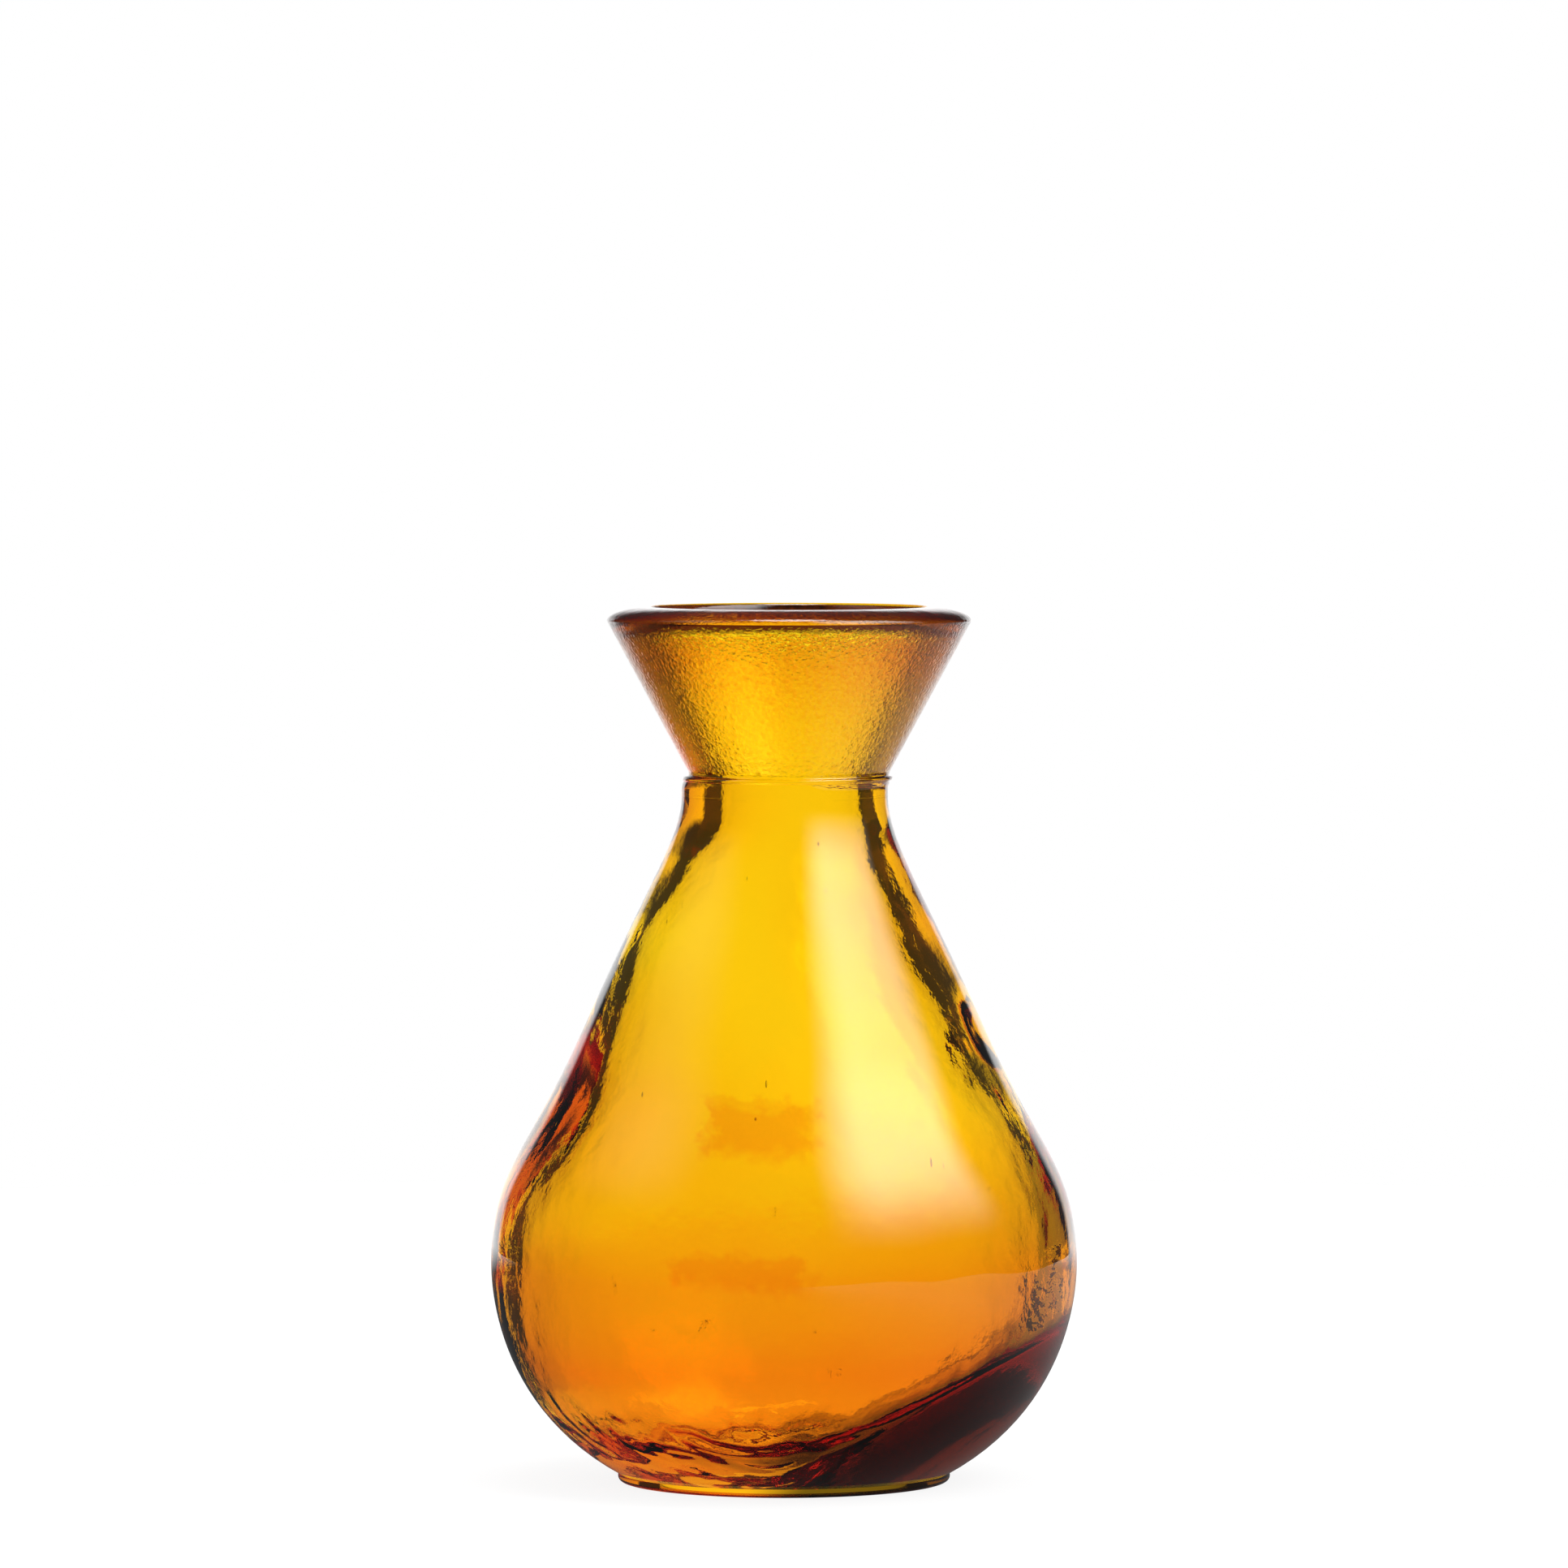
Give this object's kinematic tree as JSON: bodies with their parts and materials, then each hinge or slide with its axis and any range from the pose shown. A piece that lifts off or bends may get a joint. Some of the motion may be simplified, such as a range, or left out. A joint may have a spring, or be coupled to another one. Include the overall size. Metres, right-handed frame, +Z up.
{
  "type": "glass bud vase",
  "caption": "Small amber glass bud vase with a flared mouth, a narrow neck with a seam bead, a pear-shaped hollow body and a low standing ring.",
  "frame": {"origin": "centre of the standing face, on the surface that the vase stands on", "axes": "+Z up along the vase's axis; the vase is round, and -Y faces the viewer"},
  "size_m": [0.0804, 0.0804, 0.12],
  "materials": {
    "amber_glass": "clear amber glass, fire-polished, with a faint orange-peel grain on the collar"
  },
  "bodies": {
    "root": {"rim_lip": "amber_glass", "flared_collar": "amber_glass", "neck_ring": "amber_glass", "blown_body": "amber_glass", "foot_ring": "amber_glass"}
  },
  "joints": []
}
